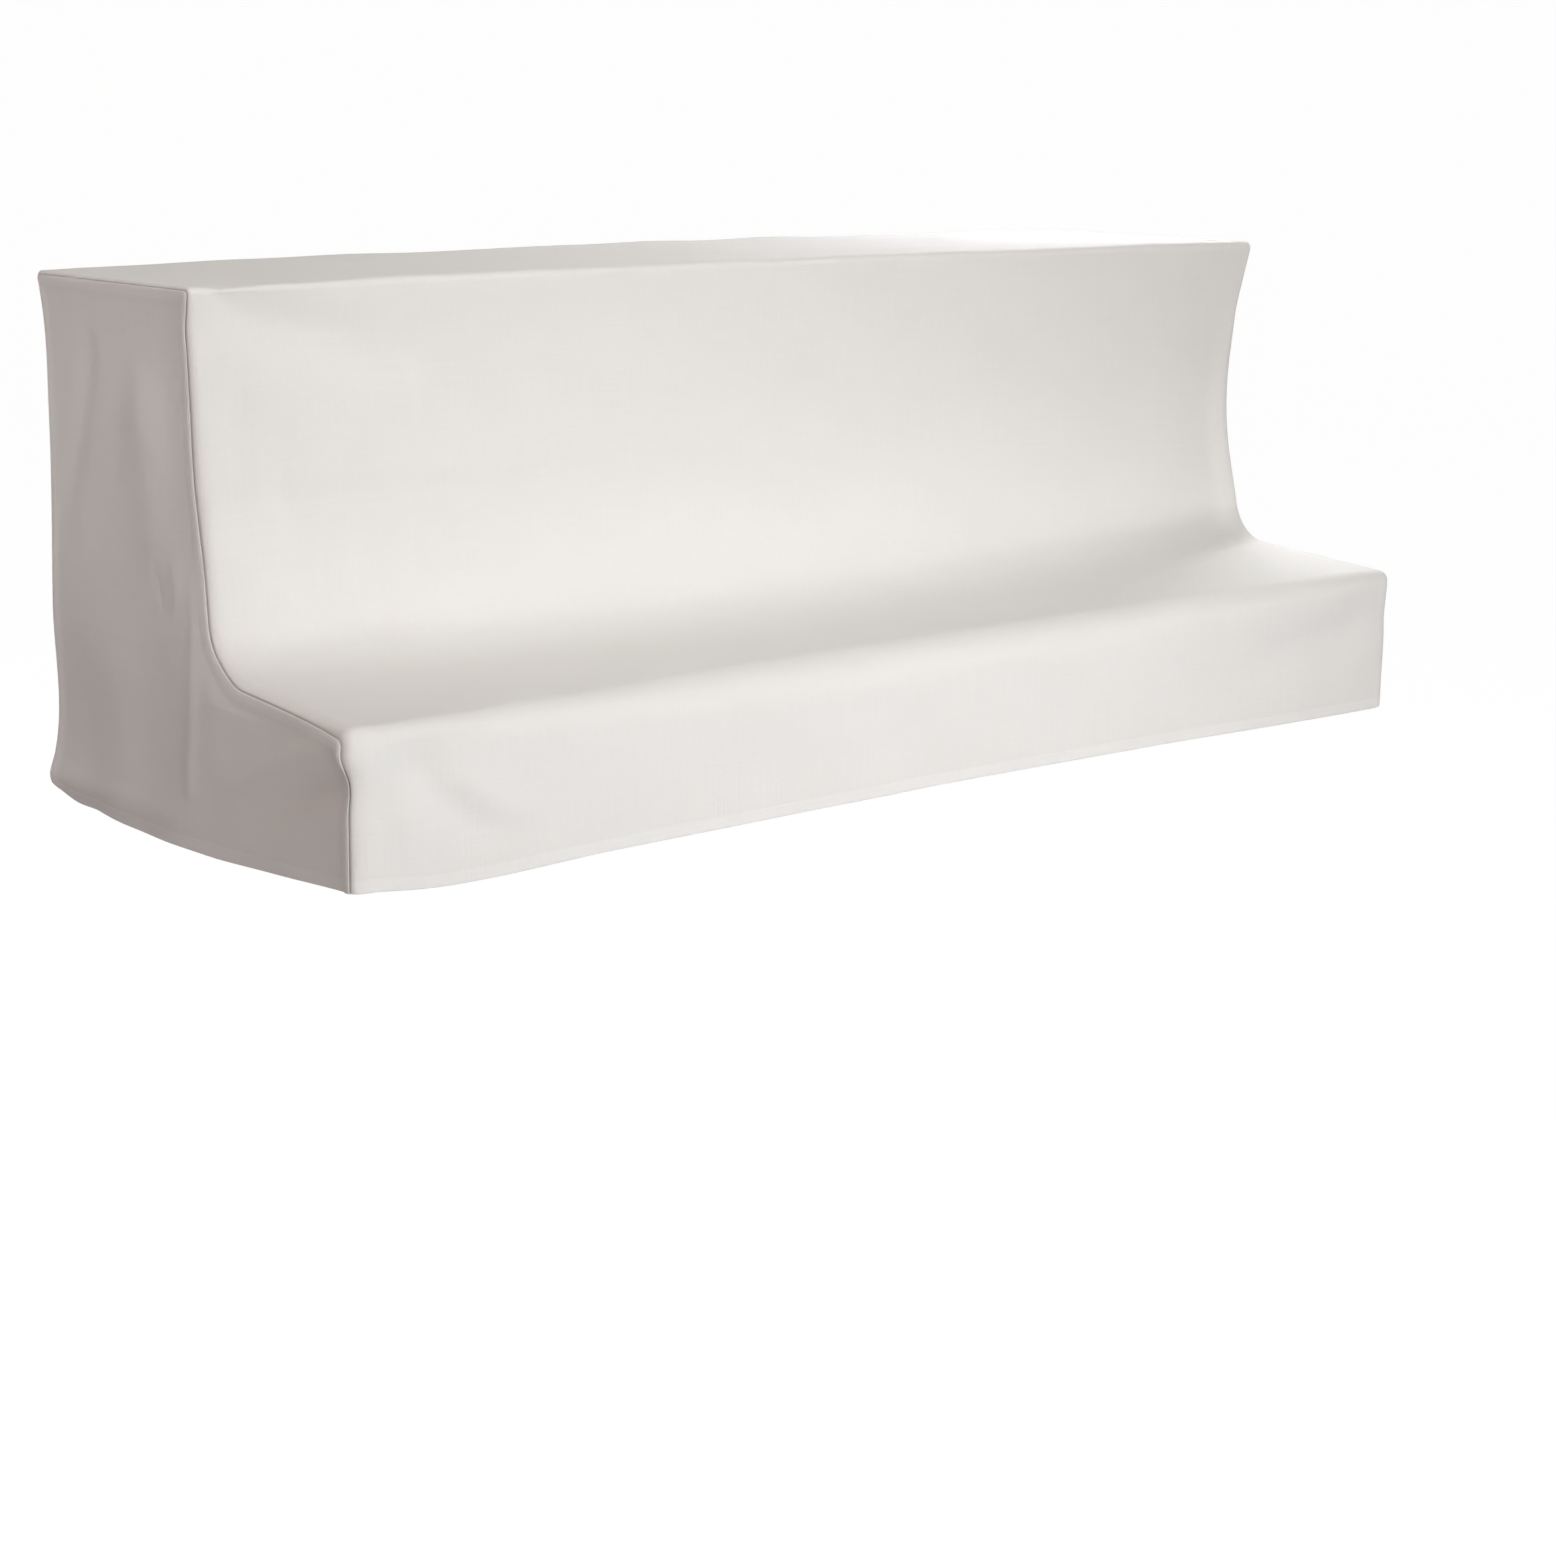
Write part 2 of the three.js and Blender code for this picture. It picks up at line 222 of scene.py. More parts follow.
def stretch_shares(steps, length, hem_first, hem_last):
    """Shares of a straight stretch at which its rows lie, close together where it ends in a hem."""
    if not hem_first and not hem_last:
        return [k / steps for k in range(1, steps)]
    top = HEM_ROWS[-1] / length
    shares = [distance / length for distance in HEM_ROWS[1:]]
    shares += [top + (1 - top) * k / steps for k in range(1, steps)]
    return shares if hem_first else [1 - share for share in reversed(shares)]


def side_view(t, wrap_share=0.0, beyond=0.0):
    """The rounded chain at t: the rows' points, their turns over the front, stations, and bends."""
    corners = inset_corners(t, wrap_share, beyond)
    bends = [round_bend(corners, i) for i in range(len(corners))]
    reaches = [reach for *_, reach in SECTION]
    last = len(corners) - 1
    rows = []
    for i, (arc, run) in enumerate(STEPS):
        for k in range(arc + 1):
            share, station = (k / arc, i - HALF_BEND + 2 * HALF_BEND * k / arc) if arc else (0, i)
            rows.append((bends[i](share), reaches[i], station))
        if i == last:
            break
        start, end = bends[i](1), bends[i + 1](0)
        leaving = 0 if i == 0 else i + HALF_BEND
        arriving = i + 1 - HALF_BEND
        for share in stretch_shares(run, abs(end - start), i == 0, i == last - 1):
            rows.append((start + (end - start) * share,
                         reaches[i] + (reaches[i + 1] - reaches[i]) * share,
                         leaving + (arriving - leaving) * share))
    points, turns, stations = (np.array(column) for column in zip(*rows))
    return points, turns, stations, bends


middle_points = side_view(0)[0]
GIRTH = float(np.abs(np.diff(middle_points)).sum())
print(f"{len(middle_points)} rows, {GIRTH:.0f} mm from hem to hem over the lid's middle")

# %% [markdown]
# ## Soft folds
#
# Cloth that spans between a lid and a shelf is never flat: it pulls from the corners that carry
# it. Sculpting those pulls by hand can't be repeated, and a cloth simulation would move the hem
# and the seams, so each fold is a line of points with a width and a height. A point of the cloth
# is pushed out, or in, by how near it is to the line. Folds of the strip die out before its seams;
# folds of a gable run on over the seam so that both cloths stay together there.

# %% Folds of the strip and of the gables
STRIP_FOLDS = [
    # what it is, width, height, line of points
    ("pull from the top left corner", 24, -10.0,
     [(-735, -168, -14), (-644, -165, -42), (-550, -163, -72), (-414, -163, -97)]),
    ("swell under that pull", 32, 7.0,
     [(-745, -167, -50), (-703, -166, -95), (-614, -167, -207)]),
    ("hollow beside the left seam", 17, -5.0,
     [(-718, -167, -90), (-720, -168, -170), (-722, -175, -262)]),
    ("upright hollow near the left end", 20, -6.5,
     [(-670, -166, -150), (-663, -172, -243), (-677, -190, -325)]),
    ("upright hollow further in", 24, -6.5,
     [(-574, -190, -340), (-576, -175, -250), (-590, -168, -170)]),
    ("swell leaning over it", 26, 5.0,
     [(-530, -166, -110), (-580, -170, -200), (-640, -180, -290)]),
    ("swell at the left foot", 17, 5.5,
     [(-706, -200, -335), (-700, -176, -260)]),
    ("shelf, easing down to its edge", 46, -3.0,
     [(-600, -415, -392), (0, -412, -390), (640, -412, -388)]),
    ("front, falling away to the right seam", 75, -6.0,
     [(735, -185, -350), (738, -156, -230), (740, -165, -60)]),
    ("apron, hollow from the shelf edge", 20, -6.0,
     [(-690, -431, -432), (-628, -430, -502), (-569, -430, -531)]),
    ("apron, swell above that hollow", 18, 4.0,
     [(-651, -430, -460), (-593, -430, -492), (-520, -430, -512)]),
    ("apron, swell at the left end", 22, 3.5,
     [(-700, -430, -490), (-687, -430, -542)]),
    ("apron, hollow at the right end", 28, -6.0,
     [(680, -429, -456), (600, -430, -466), (480, -430, -480)]),
    ("apron, swell at the right end", 30, 4.0,
     [(690, -429, -415), (600, -430, -425), (380, -430, -434)]),
]
GABLE_FOLDS = [
    ("left, ridge from the shelf corner", 24, 10.5,
     [(-762, -416, -424), (-762, -332, -447), (-761, -180, -500)]),
    ("left, hollow under that ridge", 21, -12.0,
     [(-762, -400, -446), (-762, -354, -462), (-762, -280, -492), (-761, -202, -524),
      (-760, -60, -590)]),
    ("left, ridge below the lid", 44, 9.0,
     [(-761, -58, -130), (-761, -62, -190), (-760, -76, -310)]),
    ("left, belly towards the back", 60, 5.0,
     [(-757, 15, -560), (-754, 22, -440), (-750, 40, -300)]),
    ("left, hollow along the foot's seam", 24, -4.0,
     [(-762, -190, -362), (-762, -172, -290), (-762, -166, -170)]),
    ("left, hollow along the shelf's seam", 22, -4.0,
     [(-762, -212, -378), (-762, -300, -386), (-762, -400, -396)]),
    ("left, wing turned forward", 95, 7.0,
     [(-762, -136, -560), (-762, -146, -420), (-762, -158, -270)]),
    ("left, slanting hollow near the back", 18, -5.5,
     [(-753, 68, -80), (-754, 104, -170), (-755, 150, -290)]),
    ("left, short hollow at mid height", 8, -1.6,
     [(-761, -71, -290), (-761, -81, -318), (-761, -100, -345)]),
    ("left, swell beside it", 12, 1.8,
     [(-761, -114, -285), (-761, -119, -330)]),
    ("left, upright ridge", 11, 2.6,
     [(-762, -134, -500), (-762, -144, -390), (-762, -156, -220)]),
    ("left, dent under the shelf corner", 9, -3.0,
     [(-754, -431, -408), (-759, -427, -428), (-762, -424, -452)]),
    ("right, ridge from the shelf corner", 22, 3.0,
     [(762, -385, -434), (762, -330, -452), (761, -220, -490)]),
    ("right, hollow under that ridge", 20, -5.0,
     [(762, -402, -446), (762, -300, -482), (761, -180, -525)]),
    ("right, ridge below the lid", 40, 3.5,
     [(761, -90, -110), (760, -70, -200), (759, -20, -320)]),
    ("right, slanting hollow near the back", 28, -3.0,
     [(755, 90, -120), (754, 70, -220), (756, 20, -340)]),
]
FOLD_FADE = 40.0  # distance from the strip's edge over which its own folds grow
WAVES = 28  # waves that add up to the cloth's unevenness
WAVE_SPREAD = (0.7, 1.6)  # shortest and longest wave, over their usual length
PHASES = 6.3  # a full turn, in radians


def fold_heights(folds, points):
    """How far the folds push the cloth out at an array of points."""
    height = np.zeros(points.shape[:-1])
    for _, width, full, line in folds:
        stations = np.array(line, float)
        nearest = np.full(height.shape, np.inf)
        progress = np.zeros(height.shape)
        for i, (a, b) in enumerate(zip(stations, stations[1:])):
            share = np.clip(((points - a) @ (b - a)) / ((b - a) @ (b - a)), 0, 1)
            distance = np.linalg.norm(points - (a + share[..., None] * (b - a)), axis=-1)
            closer = distance < nearest
            nearest = np.where(closer, distance, nearest)
            progress = np.where(closer, (i + share) / (len(stations) - 1), progress)
        height += full * (1 - progress**2) * np.exp(-((nearest / width) ** 2))
    return height


def unevenness(points, seed, size, height):
    """A smooth, gentle up and down with hills of about the given size."""
    chance = np.random.default_rng(seed)
    waves = chance.normal(size=(WAVES, 3))
    lengths = size * chance.uniform(*WAVE_SPREAD, (WAVES, 1))
    waves *= 2 * math.pi / lengths / np.linalg.norm(waves, axis=1, keepdims=True)
    phases = chance.uniform(0, PHASES, WAVES)
    return height * np.sin(points @ waves.T + phases).sum(-1) / math.sqrt(WAVES / 2)


print(len(STRIP_FOLDS), "folds on the strip,", len(GABLE_FOLDS), "on the gables")

# %% [markdown]
# ## From a grid of places to a piece of cloth
#
# Every piece of cloth starts as one bmesh grid whose vertices are moved to worked-out places, which
# keeps its faces in even rows and gives it a flat UV map: the cloth's own warp and weft, in
# metres. The hem is the same cloth turned up inside, so the first rows of the grid run down the
# inner layer, round the folded edge and up the outer one. A Solidify modifier gives the cloth its
# thickness inwards.

# %% Hem, grid and cloth helpers
CLOTH = 0.8  # thickness of the cloth
HEM_ROLL = 1.2  # height over which the cloth turns round at the hem's edge
HEM_FADE = 2.5  # distance over which the doubled look of the hem fades in below its top
NO_HEM = 99  # the distance from a hem's edge that rows outside every hem are given


def hem_layers(row_count, first, last):
    """All rows: the place of each, 1 outside or -1 inside a hem, and its distance from the edge."""
    turned = list(range(len(HEM_ROWS) - 1, 0, -1))
    order = [(r, -1, HEM_ROWS[r]) for r in turned] if first else []
    for r in range(row_count):
        from_edge = HEM_ROWS[r] if first and r < len(HEM_ROWS) else NO_HEM
        back = row_count - 1 - r
        if last and back < len(HEM_ROWS):
            from_edge = HEM_ROWS[back]
        order.append((r, 1, from_edge))
    if last:
        order += [(row_count - 1 - r, -1, HEM_ROWS[r]) for r in reversed(turned)]
    return order


def in_hem(from_edge):
    """1 where the cloth lies double in the hem, fading to 0 at the hem's top."""
    return min(max((HEM_ROWS[-1] - from_edge) / HEM_FADE, 0), 1)


def layered(height, middle, layer, from_edge):
    """A height above the cloth's place, carried round the hem's edge to its inner layer."""
    short = 1 - min(from_edge / HEM_ROLL, 1)
    return middle + layer * (height - middle) * math.sqrt(1 - short * short)


def cloth_piece(name, grid, flat, doubled):
    """A piece of cloth from its places in millimetres, flat layout in metres and doubled parts."""
    rows, columns = grid.shape[:2]
    shape = bmesh.new()
    bmesh.ops.create_grid(shape, x_segments=columns - 1, y_segments=rows - 1, size=0.5)
    uv = shape.loops.layers.uv.new("cloth")
    doubling = shape.verts.layers.float.new("doubled")
    cell = {}
    for vertex in shape.verts:
        c = round((vertex.co.x + 0.5) * (columns - 1))
        r = round((vertex.co.y + 0.5) * (rows - 1))
        cell[vertex] = (r, c)
        vertex.co = grid[r, c] * MM
        vertex[doubling] = doubled[r, c]
    for face in shape.faces:
        face.smooth = True
        for loop in face.loops:
            loop[uv].uv = flat[cell[loop.vert]]
    mesh = bpy.data.meshes.new(name)
    shape.to_mesh(mesh)
    shape.free()
    piece = bpy.data.objects.new(name, mesh)
    bpy.context.scene.collection.objects.link(piece)
    wall = piece.modifiers.new("thickness", "SOLIDIFY")
    wall.thickness = CLOTH * MM
    wall.offset = -1
    wall.use_even_offset = False
    return piece


print("hem rows:", len(HEM_ROWS) - 1, "on the inner layer of each hem")

# %% [markdown]
# ## The long strip
#
# Across its width the strip lies flat and then turns over both gables: a quarter round, a short
# flat leg, a narrow valley where the gable's folded edge meets it, and its seam allowance, which
# runs on under the gable. Columns are close together there and wider apart in the middle.

# %% Strip
BEND_SHARE = 0.85  # share of the turn that the quarter round takes; the rest is the flat leg
BEND_STEPS = 8
FLAT_COLUMNS = 141
CROWDING = 0.2  # 0 for even columns; more draws the flat ones towards the two ends
STRIP_LEG = [
    # share of the turn, distance beyond it, height: from the cut edge under the gable to the bend
    (1, 9, -0.35), (1, 6, -0.35), (1, 3, -0.4), (1, 1.2, -0.55), (1, 0, -0.6), (0.96, 0, -0.4),
    (0.9, 0, -0.1),
]
HEM_MIDDLE = -0.95  # middle of the hem's two layers, below the outer face
SEAM_MIDDLE = -1.25  # the same where a seam is turned up with it


def strip_columns():
    """Columns from one edge to the other: t, share, beyond, set in, height, share of the seam."""
    edge = [(share, beyond, 0.0, height, 1.0) for share, beyond, height in STRIP_LEG]
    for k in range(BEND_STEPS, 0, -1):
        angle = math.pi / 2 * k / BEND_STEPS
        edge.append((BEND_SHARE * (1 - math.cos(angle)), 0, BEND_SHARE * (1 - math.sin(angle)), 0,
                     k / BEND_STEPS))
    u = np.linspace(-1, 1, FLAT_COLUMNS)
    flat = [(t, 0, 0, BEND_SHARE, 0, 0) for t in u * (1 + CROWDING - CROWDING * u * u)]
    return [(-1, *e) for e in edge] + flat + [(1, *e) for e in reversed(edge)]


def strip_places():
    """The strip's grid of places, its flat layout and its doubled parts."""
    columns = strip_columns()
    base = []
    for t, share, beyond, set_in, _, _ in columns:
        points, turns, _, _ = side_view(t, share, beyond)
        x = t * (half_width(points.real, points.imag) - set_in * turns)
        base.append(np.stack([x, points.real, points.imag], -1))
    base = np.stack(base, 1)
    normals = np.cross(np.gradient(base, axis=1), np.gradient(base, axis=0))
    normals /= np.linalg.norm(normals, axis=-1, keepdims=True)
    from_edge = half_width(base[..., 1], base[..., 2]) - np.abs(base[..., 0])
    grown = np.clip(from_edge / FOLD_FADE, 0, 1) ** 2
    folds = fold_heights(GABLE_FOLDS, base)
    folds += grown * (fold_heights(STRIP_FOLDS, base)
                      + unevenness(base, seed=5, size=150, height=0.45))
    along = np.append(0, np.cumsum(np.abs(np.diff(middle_points))))
    order = hem_layers(len(base), True, True)
    grid = np.zeros((len(order), len(columns), 3))
    flat = np.zeros((len(order), len(columns), 2))
    for r, (row, layer, edge) in enumerate(order):
        heights = np.array([layered(h, HEM_MIDDLE + (SEAM_MIDDLE - HEM_MIDDLE) * seam, layer, edge)
                            if edge < NO_HEM else h for *_, h, seam in columns])
        turned_in = -edge if r < len(order) / 2 else along[-1] + edge
        grid[r] = base[row] + normals[row] * (heights + folds[row])[:, None]
        flat[r, :, 0] = base[row, :, 0] * MM
        flat[r, :, 1] = (along[row] if layer > 0 else turned_in) * MM
    doubled = np.array([[in_hem(edge)] * len(columns) for _, _, edge in order])
    return grid, flat, doubled


strip_grid, strip_flat, strip_doubled = strip_places()
strip = cloth_piece("cover_strip", strip_grid, strip_flat, strip_doubled)
print("strip:", len(strip.data.polygons), "faces")

# %% [markdown]
# ## The gables
#
# A gable is laid over the strip's seam allowance with its own edge turned under, so its border is
# a soft ridge: folded edge, a raised band over the layers beneath, and a slope down to the single
# cloth. The profile across that band is a short table. Rows run from the front edge to the back
# edge, and at the two upper corners the band turns the corner with the strip.

# %% Gable
GABLE_EDGE = [
    # distance beyond the seam, height, from the edge turned under to where the cloth lies single
    (9.5, 0.2), (1.8, 0.2), (0.8, 0.4), (0.3, 0.85), (0.6, 1.3), (1.6, 1.6), (3.5, 1.7), (7, 1.55),
    (9.5, 1.2), (12, 0.7), (15, 0.2), (18, 0.0),
]
GABLE_COLUMNS = 84
BACK_RISE = [
    # station at the front edge, share of the back edge's height where the same row ends
    (0.1, 0), (1, 0.2), (1.75, 0.25), (2.25, 0.36), (3, 0.6), (4, 0.86), (4.75, 1),
]
GABLE_SAG = [
    # y, how far the gable's hem hangs below the straight line between the strip's two hems
    (-420, 0), (-327, 6), (-234, 12), (-97, 17), (-15, 17), (70, 15), (150, 9), (168, 0),
]
DOUBLED_BAND = (9.5, 13)  # distances from the seam between which the doubled look fades out
UNEVEN_FROM, UNEVEN_OVER = 0.4, 1.6  # the cloth's unevenness grows here, in widths of the band
SEAM_ROWS = 3  # lines over which the hem grows as thick as the seam that is turned up with it
gable_sag = smooth_curve(GABLE_SAG)


def corner_place(bends, p, q):
    """A place at a gable's upper corner, p lines in from one edge and q lines in from the other."""
    innermost = len(GABLE_EDGE) - 1
    if p <= q:
        return bends[p](0.5 * (innermost - q) / (innermost - p))
    return bends[q](1 - 0.5 * (innermost - p) / (innermost - q))


def gable_row(front, back):
    """One row of the gable's side view, from the lines at the front edge to those at the back."""
    shares = np.arange(1, GABLE_COLUMNS) / GABLE_COLUMNS
    return np.concatenate([front, front[-1] + (back[-1] - front[-1]) * shares, back[::-1]])


def gable_base(side):
    """A gable's grid of places before any fold, and how many rows lie below its top band."""
    lines = [side_view(side, 1, distance) for distance, _ in GABLE_EDGE]
    innermost = len(lines) - 1
    stations = lines[0][2]
    row_count = int((stations <= TOP_FRONT - HALF_BEND).sum())
    rows, sags = [], []
    for r in range(row_count):
        front = np.array([points[r] for points, _, _, _ in lines])
        back = []
        for *_, bends in lines:
            hem, top = bends[len(SECTION) - 1](0), bends[TOP_BACK](1)
            hem_share = HEM_ROWS[min(r, len(HEM_ROWS) - 1)] / abs(top - hem)
            rise = np.interp(stations[r], *zip(*BACK_RISE)) if r >= len(HEM_ROWS) else 0
            back.append(hem + (top - hem) * (hem_share + (1 - hem_share) * rise))
        rows.append(gable_row(front, np.array(back)))
        sags.append(1 - min(max(float(stations[r]), 0), 1))
    front_bends = [bends[TOP_FRONT] for *_, bends in lines]
    back_bends = [bends[TOP_BACK] for *_, bends in lines]
    for q in range(innermost - 1, -1, -1):
        front = [corner_place(front_bends, p, q) for p in range(len(lines))]
        back = [corner_place(back_bends, q, p) for p in range(len(lines))]
        rows.append(gable_row(np.array(front), np.array(back)))
        sags.append(0)
    view = np.array(rows)
    y, z = view.real, view.imag - np.array(sags)[:, None] * gable_sag(view.real)
    return np.stack([side * half_width(y, z), y, z], -1), row_count


def gable_places(side):
    """A gable's grid of places, its flat layout and its doubled parts."""
    base, row_count = gable_base(side)
    innermost = len(GABLE_EDGE) - 1
    columns = base.shape[1]
    from_end = np.minimum(np.arange(columns), np.arange(columns)[::-1])
    from_top = np.full(len(base), innermost)
    from_top[row_count:] = np.arange(innermost - 1, -1, -1)
    line = np.minimum(np.minimum(from_end[None, :], from_top[:, None]), innermost)
    distances, rises = (np.array(column)[line] for column in zip(*GABLE_EDGE))
    grown = np.clip((from_end / innermost - UNEVEN_FROM) / UNEVEN_OVER, 0, 1)[None, :]
    folds = fold_heights(GABLE_FOLDS, base)
    folds = folds + grown * unevenness(base, seed=11 + side, size=120, height=0.5)
    seam = np.clip((innermost - from_end) / SEAM_ROWS, 0, 1)
    middles = HEM_MIDDLE + (SEAM_MIDDLE - HEM_MIDDLE) * seam

    order = hem_layers(len(base), True, False)
    grid = np.zeros((len(order), columns, 3))
    flat = np.zeros((len(order), columns, 2))
    for r, (row, layer, edge) in enumerate(order):
        h = rises[row]
        if edge < NO_HEM:
            h = np.array([layered(h[c], middles[c], layer, edge) for c in range(columns)])
        grid[r] = base[row]
        grid[r, :, 0] += side * (h + folds[row])
        flat[r, :, 0] = base[row, :, 1] * MM
        flat[r, :, 1] = (base[row, :, 2] if layer > 0 else base[0, :, 2] - edge) * MM
    band = np.interp(distances, DOUBLED_BAND, [1, 0])
    doubled = np.array([np.maximum(band[row], in_hem(edge)) for row, _, edge in order])
    if side < 0:
        grid, flat, doubled = grid[:, ::-1], flat[:, ::-1], doubled[:, ::-1]
    return grid, flat, doubled


gables, gable_grids = {}, {}
for side, end in ((-1, "left"), (1, "right")):
    gable_grids[end], flat, doubled = gable_places(side)
    gables[end] = cloth_piece(f"cover_gable_{end}", gable_grids[end], flat, doubled)
    print(f"{end} gable:", len(gables[end].data.polygons), "faces")

# %% [markdown]
# ## Stitches
#
# Two lines of sewing show up close: the hem's, a finger's breadth above the edge, and the one that
# holds the gable's folded edge down. A dashed pattern in the material would stay flat under the
# light, so each stitch is a small rounded bead of thread, half sunk into the cloth. Thousands of
# them are needed, so each is an icosphere of only twenty faces, stretched along the seam.

# %% Stitches
STITCH_PITCH, STITCH_LENGTH, THREAD = 3.4, 2.7, 0.5
FIRST_GAP = 0.15  # share of the pitch left free before the first stitch
PROUD = 0.2  # how far a stitch's middle stands above the cloth, over the thread's thickness
ENDS_FREE = 2  # rows or columns left without stitches at the ends of a line
HEM_LINE = HEM_ROWS.index(12)  # the hem's stitches run this many rows above the edge
BAND_LINE = 6  # the gable's stitches run along this line of its edge profile


def outward(grid):
    """Unit normals of a grid of places, pointing out of the cover."""
    normals = np.cross(np.gradient(grid, axis=1), np.gradient(grid, axis=0))
    return normals / np.linalg.norm(normals, axis=-1, keepdims=True)


def stitch_line(shape, places, normals):
    """Sew one line of stitches along a row of places."""
    along = np.append(0, np.cumsum(np.linalg.norm(np.diff(places, axis=0), axis=1)))
    count = int(along[-1] / STITCH_PITCH)
    for k in range(count):
        start = (k + FIRST_GAP) * STITCH_PITCH
        a, b, n = (Vector([np.interp(s, along, values[:, i]) for i in range(3)])
                   for s, values in ((start, places), (start + STITCH_LENGTH, places),
                                     (start + STITCH_LENGTH / 2, normals)))
        run = (b - a).normalized()
        side = n.cross(run).normalized()
        axes = (run * STITCH_LENGTH / 2, side * THREAD / 2, run.cross(side) * THREAD / 2)
        bead = (Matrix(axes).transposed() * MM).to_4x4()
        middle = Matrix.Translation(((a + b) / 2 + n * THREAD * PROUD) * MM)
        bmesh.ops.create_icosphere(shape, subdivisions=1, radius=1, matrix=middle @ bead)
    return count


def sewing(name, grid, lines):
    """A piece of sewing: one mesh with a line of stitches for each list of grid cells."""
    shape = bmesh.new()
    normals = outward(grid)
    count = sum(stitch_line(shape, np.array([grid[cell] for cell in line]),
                            np.array([normals[cell] for cell in line])) for line in lines)
    for face in shape.faces:
        face.smooth = True
    mesh = bpy.data.meshes.new(name)
    shape.to_mesh(mesh)
    shape.free()
    stitches = bpy.data.objects.new(name, mesh)
    bpy.context.scene.collection.objects.link(stitches)
    print(f"{name}: {count} stitches, {len(mesh.polygons)} faces")
    return stitches


inner_rows = len(HEM_ROWS) - 1  # the grid starts with the hem's inner layer
hem_row = inner_rows + HEM_LINE
seam_columns = len(STRIP_LEG)
strip_columns_seen = range(seam_columns, strip_grid.shape[1] - seam_columns)
sewn = {"strip": sewing("stitches_strip", strip_grid, [
    [(hem_row, c) for c in strip_columns_seen],
    [(len(strip_grid) - 1 - hem_row, c) for c in strip_columns_seen],
])}
for end, grid in gable_grids.items():
    last_row, last_column = len(grid) - 1 - BAND_LINE, grid.shape[1] - 1 - BAND_LINE
    sewn[end] = sewing(f"stitches_gable_{end}", grid, [
        [(r, BAND_LINE) for r in range(inner_rows + ENDS_FREE, last_row)]
        + [(last_row, c) for c in range(BAND_LINE, last_column + 1)]
        + [(r, last_column) for r in range(last_row - 1, inner_rows + ENDS_FREE - 1, -1)],
        [(hem_row, c) for c in range(BAND_LINE + ENDS_FREE, last_column - ENDS_FREE + 1)],
    ])

# %% [markdown]
# ## The cloth's finish
#
# The cloth is a plain-woven cotton, off-white and matt. Its pattern follows the cloth, not the
# room, so it is drawn on the cloth's own UV map, whose unit is a metre of warp and weft. Node
# trees are easier to read as sums than as a web of links: a small class wraps a node's output so
# that + - * add Math nodes, and one method adds every other node.

# %% Sums of sockets
COLOUR_A, COLOUR_B, COLOUR_RESULT = 6, 7, 2  # sockets of a Mix node that mixes colours
OBJECT_PLACE, FACTOR = 3, 2  # outputs of a Texture Coordinate node and of an Attribute node


class Reading:
    """A node's output. A sum written with readings adds its Math nodes to their finish."""

    def __init__(self, finish, socket):
        self.finish, self.socket = finish, socket

    def maths(self, operation, first, second=0.0, limited=False):
        """Add a Math node to the finish."""
        settings = {"operation": operation, "use_clamp": limited}
        return self.finish.node("ShaderNodeMath", settings, {0: first, 1: second})

    def __add__(self, other):
        return self.maths("ADD", self, other)

    def __radd__(self, other):
        return self.maths("ADD", other, self)

    def __sub__(self, other):
        return self.maths("SUBTRACT", self, other)

    def __rsub__(self, other):
        return self.maths("SUBTRACT", other, self)

    def __mul__(self, other):
        return self.maths("MULTIPLY", self, other)

    def __rmul__(self, other):
        return self.maths("MULTIPLY", other, self)

    def sine(self):
        return self.maths("SINE", self)

    def size(self):
        return self.maths("ABSOLUTE", self)

    def limited(self):
        """The same, held between 0 and 1."""
        return self.maths("ADD", self, 0.0, limited=True)


class Finish:
    """A material built on the standard shader, whose other nodes are added one at a time."""

    def __init__(self, name):
        self.material = bpy.data.materials.new(name)
        self.material.use_nodes = True
        self.tree = self.material.node_tree
        self.shader = self.tree.nodes["Principled BSDF"]

    def plug(self, node, values):
        """Link a node's inputs to readings, or set them to values."""
        for socket, value in values.items():
            if isinstance(value, Reading):
                self.tree.links.new(value.socket, node.inputs[socket])
            else:
                node.inputs[socket].default_value = value

    def node(self, kind, settings, values, output=0):
        """Add a node and return a reading of one of its outputs."""
        node = self.tree.nodes.new(kind)
        for setting, value in settings.items():
            setattr(node, setting, value)
        self.plug(node, values)
        return Reading(self, node.outputs[output])

    def mixed(self, factor, first, second):
        """A colour between two others."""
        colours = {"Factor": factor, COLOUR_A: first, COLOUR_B: second}
        return self.node("ShaderNodeMix", {"data_type": "RGBA"}, colours, COLOUR_RESULT)


print("finish helpers ready")

# %% [markdown]
# A real weave is never quite regular: threads wander, and some are thicker for a few centimetres.
# So the coordinates are first pushed about by a slow noise, then a sine of each gives the rounded
# threads, and their product says which of the two lies on top. Two stretched noises make the
# thicker threads. All of it is shallow: at arm's length the cloth reads as one soft, dry surface.

# %% Woven cotton
THREAD_PITCH = 0.0011  # metres between threads
THREAD_HEIGHT = 0.00035  # metres of relief
WANDER_U, WANDER_V = 0.0022, 0.0018  # metres the threads wander
ALONG_WARP, ALONG_WEFT = (520, 14, 1), (14, 520, 1)  # noise scales, drawn out along the threads
CLOTH_LIGHT, CLOTH_SHADE = (0.83, 0.82, 0.79, 1), (0.70, 0.685, 0.65, 1)


